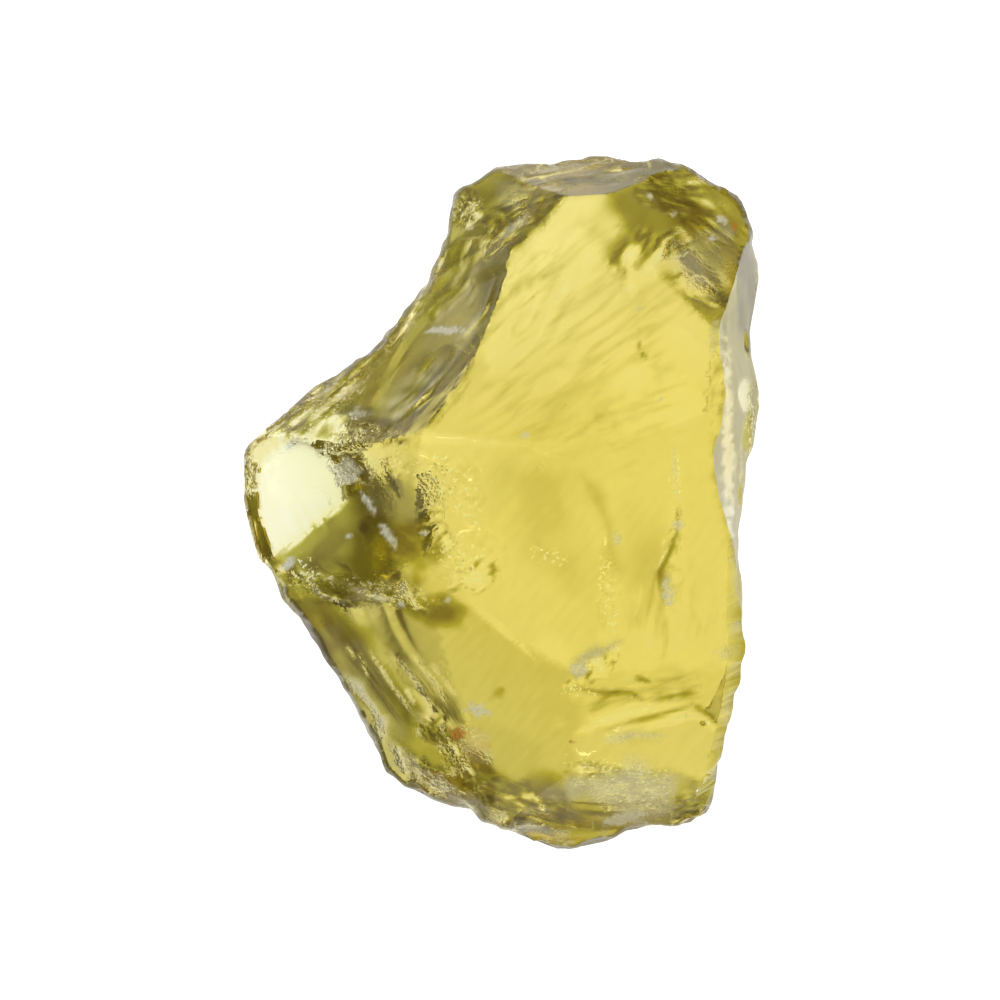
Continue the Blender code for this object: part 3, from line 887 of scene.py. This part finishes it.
def mapped(tree, value, low, high, start=0.0, end=1.0, blend='LINEAR'):
    """Take a value between start and end to one between low and high."""
    spread = add_node(tree, "ShaderNodeMapRange", interpolation_type=blend)
    set_inputs(spread, {"From Min": start, "From Max": end, "To Min": low, "To Max": high})
    tree.links.new(value, spread.inputs["Value"])
    return spread.outputs["Result"]


def combined(tree, operation, first, second):
    """Add, multiply or compare two values."""
    maths = add_node(tree, "ShaderNodeMath", operation=operation)
    tree.links.new(first, maths.inputs[0])
    tree.links.new(second, maths.inputs[1])
    return maths.outputs["Value"]


def mix_by_place(tree, place, before, colour):
    """Blend a colour in where an attribute of the mesh is strong."""
    mix = add_node(tree, "ShaderNodeMix", data_type='RGBA')
    tree.links.new(place, mix.inputs["Factor"])
    tree.links.new(before, mix.inputs["A"])
    mix.inputs["B"].default_value = (*colour, 1.0)
    return mix.outputs["Result"]


def stone_colour(tree, look, painted, swing, place):
    """Colour of the surface: tints by tone, which paint shade and light, with the painted light and shade
    of the streaks, painted glints, frost and rust.
    """
    # Flecks of noise lighten the tone where glints are painted, a painted highlight
    specks = add_noise(tree, place, look.fleck_scale, FLECK_DETAIL)
    flecks = mapped(tree, specks, 0.0, look.fleck_contrast, *FLECK_EDGE)
    flecks = combined(tree, 'MULTIPLY', flecks, painted["painted_glint"])
    toned = combined(tree, 'ADD', painted["tone"], combined(tree, 'ADD', swing, flecks))
    tinted = add_node(tree, "ShaderNodeValToRGB")
    stops = tinted.color_ramp.elements
    stops.remove(stops[0])
    # The ramp paints shade with its deep, olive and green tints, and highlights with its pale one
    tints = (look.deep_shade_tint, look.olive_shade_tint, look.green_shade_tint, look.yellow_tint, look.pale_and_highlight_tint)
    for index, (tone, tint) in enumerate(zip(TINT_TONES, tints)):
        stop = stops[0] if index == 0 else stops.new(tone)
        stop.position = tone
        stop.color = (*tint, 1.0)
    tree.links.new(toned, tinted.inputs["Fac"])
    colour = mix_by_place(tree, painted["frost"], tinted.outputs["Color"], look.frost_colour)
    return mix_by_place(tree, painted["rust"], colour, look.rust_colour)


def stone_clearness(tree, look, painted, crumbs):
    """How clear the stone is: less in silky and milky zones, least where it is crushed or rusty."""
    crushed = combined(tree, 'MULTIPLY', painted["frost"], mapped(tree, crumbs, *CRUMB_SWING))
    clouded = combined(tree, 'MAXIMUM', crushed, painted["rust"])
    clear = mapped(tree, painted["tone"], 1.0 - look.silky_haze, 1.0, *SILKY_TONES)
    clear = combined(tree, 'MULTIPLY', clear, mapped(tree, painted["milk"], 1.0, 0.0))
    return combined(tree, 'MULTIPLY', mapped(tree, clouded, 1.0, CLOUDED_CLEARNESS), clear)


def stone_roughness(tree, look, painted):
    """How rough the surface is: silky in the olive zones, and gritty where it is crushed."""
    silky = mapped(tree, painted["tone"], look.silky_roughness, look.roughness, *SILKY_TONES)
    gritty = mapped(tree, painted["frost"], 0.0, look.frost_roughness)
    return combined(tree, 'MAXIMUM', silky, gritty)


def stone_relief(tree, look, painted, swing, crumbs):
    """Relief too fine for the mesh: the fine streaks, with the crumbs of crushed stone on them."""
    relief = add_node(tree, "ShaderNodeBump")
    relief.inputs["Distance"].default_value = look.streak_height
    tree.links.new(swing, relief.inputs["Height"])
    grit = add_node(tree, "ShaderNodeBump")
    grit.inputs["Distance"].default_value = look.grit_height
    tree.links.new(combined(tree, 'MAXIMUM', painted["frost"], painted["painted_glint"]), grit.inputs["Strength"])
    tree.links.new(crumbs, grit.inputs["Height"])
    tree.links.new(relief.outputs["Normal"], grit.inputs["Normal"])
    return grit.outputs["Normal"]


def quartz_material(look):
    """Clear yellow quartz, with olive zones of painted shade, pale zones, painted glints, frosty crushed
    spots and specks of rust.
    """
    material = bpy.data.materials.new("lemon_quartz")
    material.use_nodes = True
    tree = material.node_tree
    shader = tree.nodes["Principled BSDF"]
    set_inputs(shader, {"IOR": look.ior, "Specular Tint": (*look.shine_colour, 1.0)})
    place = add_node(tree, "ShaderNodeTexCoord").outputs["Object"]
    painted = {}
    for name in ("tone", "hackle", "frost", "rust", "painted_glint", "milk"):
        painted[name] = add_node(tree, "ShaderNodeAttribute", attribute_name=name).outputs["Fac"]
    streak = add_node(tree, "ShaderNodeAttribute", attribute_name="streak").outputs["Vector"]
    streaks = add_noise(tree, streak, look.streak_scale, STREAK_DETAIL)
    # The swing of the streaks is a bump, and is also added to the tone as painted light and shade
    swing = combined(tree, 'MULTIPLY', mapped(tree, streaks, *STREAK_SWING), painted["hackle"])
    crumbs = add_noise(tree, place, look.crumb_scale, CRUMB_DETAIL)

    colour = stone_colour(tree, look, painted, swing, place)
    tree.links.new(colour, shader.inputs["Base Color"])
    clearness = stone_clearness(tree, look, painted, crumbs)
    tree.links.new(clearness, shader.inputs["Transmission Weight"])
    tree.links.new(stone_roughness(tree, look, painted), shader.inputs["Roughness"])
    tree.links.new(stone_relief(tree, look, painted, swing, crumbs), shader.inputs["Normal"])

    absorption = add_node(tree, "ShaderNodeVolumeAbsorption")
    set_inputs(absorption, {"Color": (*look.body_colour, 1.0), "Density": look.density})
    tree.links.new(absorption.outputs["Volume"], tree.nodes["Material Output"].inputs["Volume"])
    return material


def colour_setting(name, description, default):
    """A colour that the user can change."""
    return bpy.props.FloatVectorProperty(
        name=name, description=description, default=default, size=3, min=0.0, max=1.0, subtype='COLOR')


def share_setting(name, description, default):
    """A share from 0 to 1 that the user can change."""
    return bpy.props.FloatProperty(name=name, description=description, default=default, min=0.0, max=1.0)


def number_setting(name, description, default):
    """A plain number, from 0 upwards, that the user can change."""
    return bpy.props.FloatProperty(name=name, description=description, default=default, min=0.0)


def length_setting(name, description, default):
    """A length in metres that the user can change."""
    return bpy.props.FloatProperty(name=name, description=description, default=default, unit='LENGTH')


class QuartzLook(bpy.types.PropertyGroup):
    """Sizes and colours of the chunk's fine surface."""

    grain: bpy.props.FloatProperty(
        name="Mesh Grain", description="Size of the small faces of the chunk's surface",
        default=0.186 * MM, min=0.1 * MM, unit='LENGTH')
    body_colour: colour_setting("Body Colour", "Colour that the stone lets through", (0.925, 0.85, 0.0))
    density: number_setting("Colour Depth", "How strongly each metre of stone colours the light", 80.0)
    # The deep, olive and green tints are painted shade; the pale tint is also painted highlight
    deep_shade_tint: colour_setting("Deep Tint", "Tint of the darkest olive zones", (0.08, 0.055, 0.004))
    olive_shade_tint: colour_setting("Olive Tint", "Tint of the olive zones", (0.30, 0.268, 0.014))
    green_shade_tint: colour_setting("Green Tint", "Tint between the olive and the yellow zones",
                               (0.565, 0.515, 0.17))
    yellow_tint: colour_setting("Yellow Tint", "Tint of a clean break over deep stone",
                                (0.80, 0.735, 0.385))
    pale_and_highlight_tint: colour_setting("Pale Tint", "Tint of the palest breaks", (0.84, 0.88, 0.84))
    frost_colour: colour_setting("Frost Colour", "Colour of crushed, frosty spots", (0.68, 0.67, 0.60))
    rust_colour: colour_setting("Rust Colour", "Colour of the rusty specks", (0.50, 0.16, 0.02))
    shine_colour: colour_setting("Shine Colour", "Tint of what the surface mirrors", (0.80, 0.74, 0.35))
    ior: bpy.props.FloatProperty(
        name="Refraction", description="Refractive index of quartz", default=1.544, min=1.0)
    roughness: share_setting("Roughness", "Roughness of a clean break", 0.07)
    silky_haze: share_setting("Silky Haze", "How milky the olive zones are", 0.22)
    silky_roughness: share_setting("Silky Roughness", "Roughness of the olive zones", 0.30)
    frost_roughness: share_setting("Frost Roughness", "Roughness of a crushed spot", 0.40)
    streak_scale: number_setting("Streak Scale", "Fine streaks to one streak of the mesh", 1.7)
    streak_height: length_setting("Streak Height", "Height of the fine streaks", 0.09 * MM)
    # Painted glints: how close their flecks lie and how much lighter they are painted
    fleck_scale: number_setting("Fleck Scale", "Bright flecks to the metre", 4200.0)
    fleck_contrast: number_setting("Fleck Contrast", "How much lighter the flecks are", 0.8)
    crumb_scale: number_setting("Crumb Scale", "Crumbs of crushed stone to the metre", 4500.0)
    grit_height: length_setting("Grit Height", "Height of the crumbs", 0.15 * MM)


class QuartzStage(bpy.types.PropertyGroup):
    """Floor, lights and camera."""

    floor_gap: length_setting("Floor Gap", "Gap between the resting face and the floor", 0.25 * MM)
    floor_size: length_setting("Floor Size", "Length of the floor's side", 1.2)
    glow: number_setting("Floor Glow", "Light that the floor gives off under the stone", 0.97)
    far_glow: number_setting("Far Glow", "Light that the floor gives off far from the stone", 0.20)
    glow_core: length_setting("Glow Core", "How far from the middle the glow stays full", 0.043)
    glow_reach: length_setting("Glow Reach", "How far from the middle the glow ends", 0.080)
    room_light: number_setting("Room Light", "Brightness of the room around the stage", 0.30)
    camera_height: length_setting(
        "Camera Height", "Height of the camera above the resting face", VIEW_HEIGHT * MM)
    lens: number_setting("Lens", "Focal length in millimetres", 100.0)


def fine_copy(context, grain):
    """An even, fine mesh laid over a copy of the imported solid."""
    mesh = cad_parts[CHUNK_NODE].data.copy()
    mesh.materials.clear()
    shape = bmesh.new()
    shape.from_mesh(mesh)
    bmesh.ops.remove_doubles(shape, verts=shape.verts, dist=MERGE_REACH * MM)
    shape.to_mesh(mesh)
    shape.free()
    chunk = bpy.data.objects.new("clear_chunk", mesh)
    context.collection.objects.link(chunk)

    remesh = chunk.modifiers.new("fine_grain", 'REMESH')
    remesh.mode = 'VOXEL'
    remesh.voxel_size = grain
    context.view_layer.update()
    evaluated = chunk.evaluated_get(context.evaluated_depsgraph_get())
    chunk.data = bpy.data.meshes.new_from_object(evaluated)
    chunk.modifiers.clear()
    bpy.data.meshes.remove(mesh)
    chunk.data.name = "clear_chunk"
    return chunk


def point_rows(mesh, field):
    """The place or the normal of each point of a mesh, one to a row."""
    values = np.empty(len(mesh.vertices) * 3)
    mesh.vertices.foreach_get(field, values)
    return values.reshape(-1, 3)


class OBJECT_OT_quartz_chunk(bpy.types.Operator):
    """Lay the fine surface over the chunk"""

    bl_idname = "object.quartz_chunk"
    bl_label = "Add Quartz Chunk"

    def execute(self, context):
        look = context.scene.quartz_look
        chunk = fine_copy(context, look.grain)
        mesh = chunk.data
        chips = rim_chips(LARGE_CHIPS) + rim_chips(SMALL_CHIPS)
        points = settle_points(point_rows(mesh, "co") / MM, chips, RIDGE_REACH_IN_GRAINS * look.grain / MM)
        points[points[:, 2] < REST_SNAP, 2] = 0.0
        points = np.clip(points, np.array(LOW) / MM, np.array(HIGH) / MM)
        mesh.vertices.foreach_set("co", (points * MM).ravel())
        mesh.update()
        mesh.shade_smooth()
        mesh.set_sharp_from_angle(angle=math.radians(SHARP_ANGLE))
        paint_upper_side(mesh, points, chips, point_rows(mesh, "normal")[:, 2] > 0.0)
        mesh.materials.append(quartz_material(look))

        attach(chunk, "root")
        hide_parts(CHUNK_NODE)
        return {'FINISHED'}


def paper_material(stage):
    """White paper, lit from below around the stone and fading outwards."""
    paper = bpy.data.materials.new("white_paper")
    paper.use_nodes = True
    tree = paper.node_tree
    shader = tree.nodes["Principled BSDF"]
    set_inputs(shader, {"Base Color": PAPER_GREY, "Roughness": PAPER_ROUGHNESS,
                        "Specular IOR Level": 0.0, "Emission Color": WHITE})
    place = add_node(tree, "ShaderNodeTexCoord").outputs["Object"]
    length = add_node(tree, "ShaderNodeVectorMath", operation='LENGTH')
    tree.links.new(place, length.inputs[0])
    glow = mapped(tree, length.outputs["Value"], stage.glow, stage.far_glow,
                  stage.glow_core, stage.glow_reach, 'SMOOTHSTEP')
    tree.links.new(glow, shader.inputs["Emission Strength"])
    return paper


def add_floor(context, stage):
    """A square of white paper just below the stone."""
    shape = bmesh.new()
    bmesh.ops.create_grid(shape, x_segments=1, y_segments=1, size=stage.floor_size / 2)
    bmesh.ops.translate(shape, verts=shape.verts, vec=(0.0, 0.0, -stage.floor_gap))
    mesh = bpy.data.meshes.new("floor")
    shape.to_mesh(mesh)
    shape.free()
    floor = bpy.data.objects.new("floor", mesh)
    context.collection.objects.link(floor)
    mesh.materials.append(paper_material(stage))


def add_soft_light(context, name, azimuth, elevation, size, power):
    """A square soft box that faces the stone."""
    data = bpy.data.lights.new(name, 'AREA')
    data.shape = 'SQUARE'
    data.size = size
    data.energy = power
    light = bpy.data.objects.new(name, data)
    turn, rise = math.radians(azimuth), math.radians(elevation)
    level = LIGHT_DISTANCE * math.cos(rise)
    light.location = (level * math.cos(turn), level * math.sin(turn), LIGHT_DISTANCE * math.sin(rise))
    light.rotation_euler = light.location.to_track_quat('Z', 'Y').to_euler()
    context.collection.objects.link(light)


def add_room(context, stage):
    """White room light and the soft boxes."""
    world = bpy.data.worlds.new("room")
    context.scene.world = world
    world.use_nodes = True
    background = world.node_tree.nodes["Background"]
    set_inputs(background, {"Color": WHITE, "Strength": stage.room_light})
    for light in SOFT_LIGHTS:
        add_soft_light(context, *light)


def add_camera(context, stage):
    """A camera that looks straight down."""
    data = bpy.data.cameras.new("camera")
    data.lens = stage.lens
    data.clip_start = NEAREST_SEEN
    camera = bpy.data.objects.new("camera", data)
    camera.location = (VIEW_CENTRE[0] * MM, VIEW_CENTRE[1] * MM, stage.camera_height)
    context.collection.objects.link(camera)
    context.scene.camera = camera


class OBJECT_OT_quartz_stage(bpy.types.Operator):
    """Set the floor, the lights and the camera"""

    bl_idname = "object.quartz_stage"
    bl_label = "Add Stage"

    def execute(self, context):
        stage = context.scene.quartz_stage
        add_floor(context, stage)
        add_room(context, stage)
        add_camera(context, stage)
        context.scene.view_settings.view_transform = 'Standard'
        context.scene.cycles.max_bounces = LIGHT_BOUNCES
        context.scene.cycles.transmission_bounces = LIGHT_BOUNCES
        return {'FINISHED'}


class VIEW3D_PT_quartz(bpy.types.Panel):
    """Sizes, colours and steps of the raw lemon quartz"""

    bl_label = "Raw Lemon Quartz"
    bl_idname = "VIEW3D_PT_quartz"
    bl_space_type = 'VIEW_3D'
    bl_region_type = 'UI'
    bl_category = "Quartz"

    def draw(self, context):
        for settings in (context.scene.quartz_look, context.scene.quartz_stage):
            box = self.layout.box()
            for name in settings.__annotations__:
                box.prop(settings, name)
        self.layout.operator(OBJECT_OT_quartz_chunk.bl_idname)
        self.layout.operator(OBJECT_OT_quartz_stage.bl_idname)


CLASSES = (QuartzLook, QuartzStage, OBJECT_OT_quartz_chunk, OBJECT_OT_quartz_stage, VIEW3D_PT_quartz)


def register():
    """Make the classes and their settings known to Blender."""
    for item in CLASSES:
        bpy.utils.register_class(item)
    bpy.types.Scene.quartz_look = bpy.props.PointerProperty(type=QuartzLook)
    bpy.types.Scene.quartz_stage = bpy.props.PointerProperty(type=QuartzStage)


def unregister():
    """Take the settings and classes away again."""
    del bpy.types.Scene.quartz_stage
    del bpy.types.Scene.quartz_look
    for item in reversed(CLASSES):
        bpy.utils.unregister_class(item)


def main():
    """Build the chunk and its stage."""
    register()
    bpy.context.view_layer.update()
    bpy.ops.object.quartz_chunk()
    bpy.ops.object.quartz_stage()


if __name__ == "__main__":
    main()
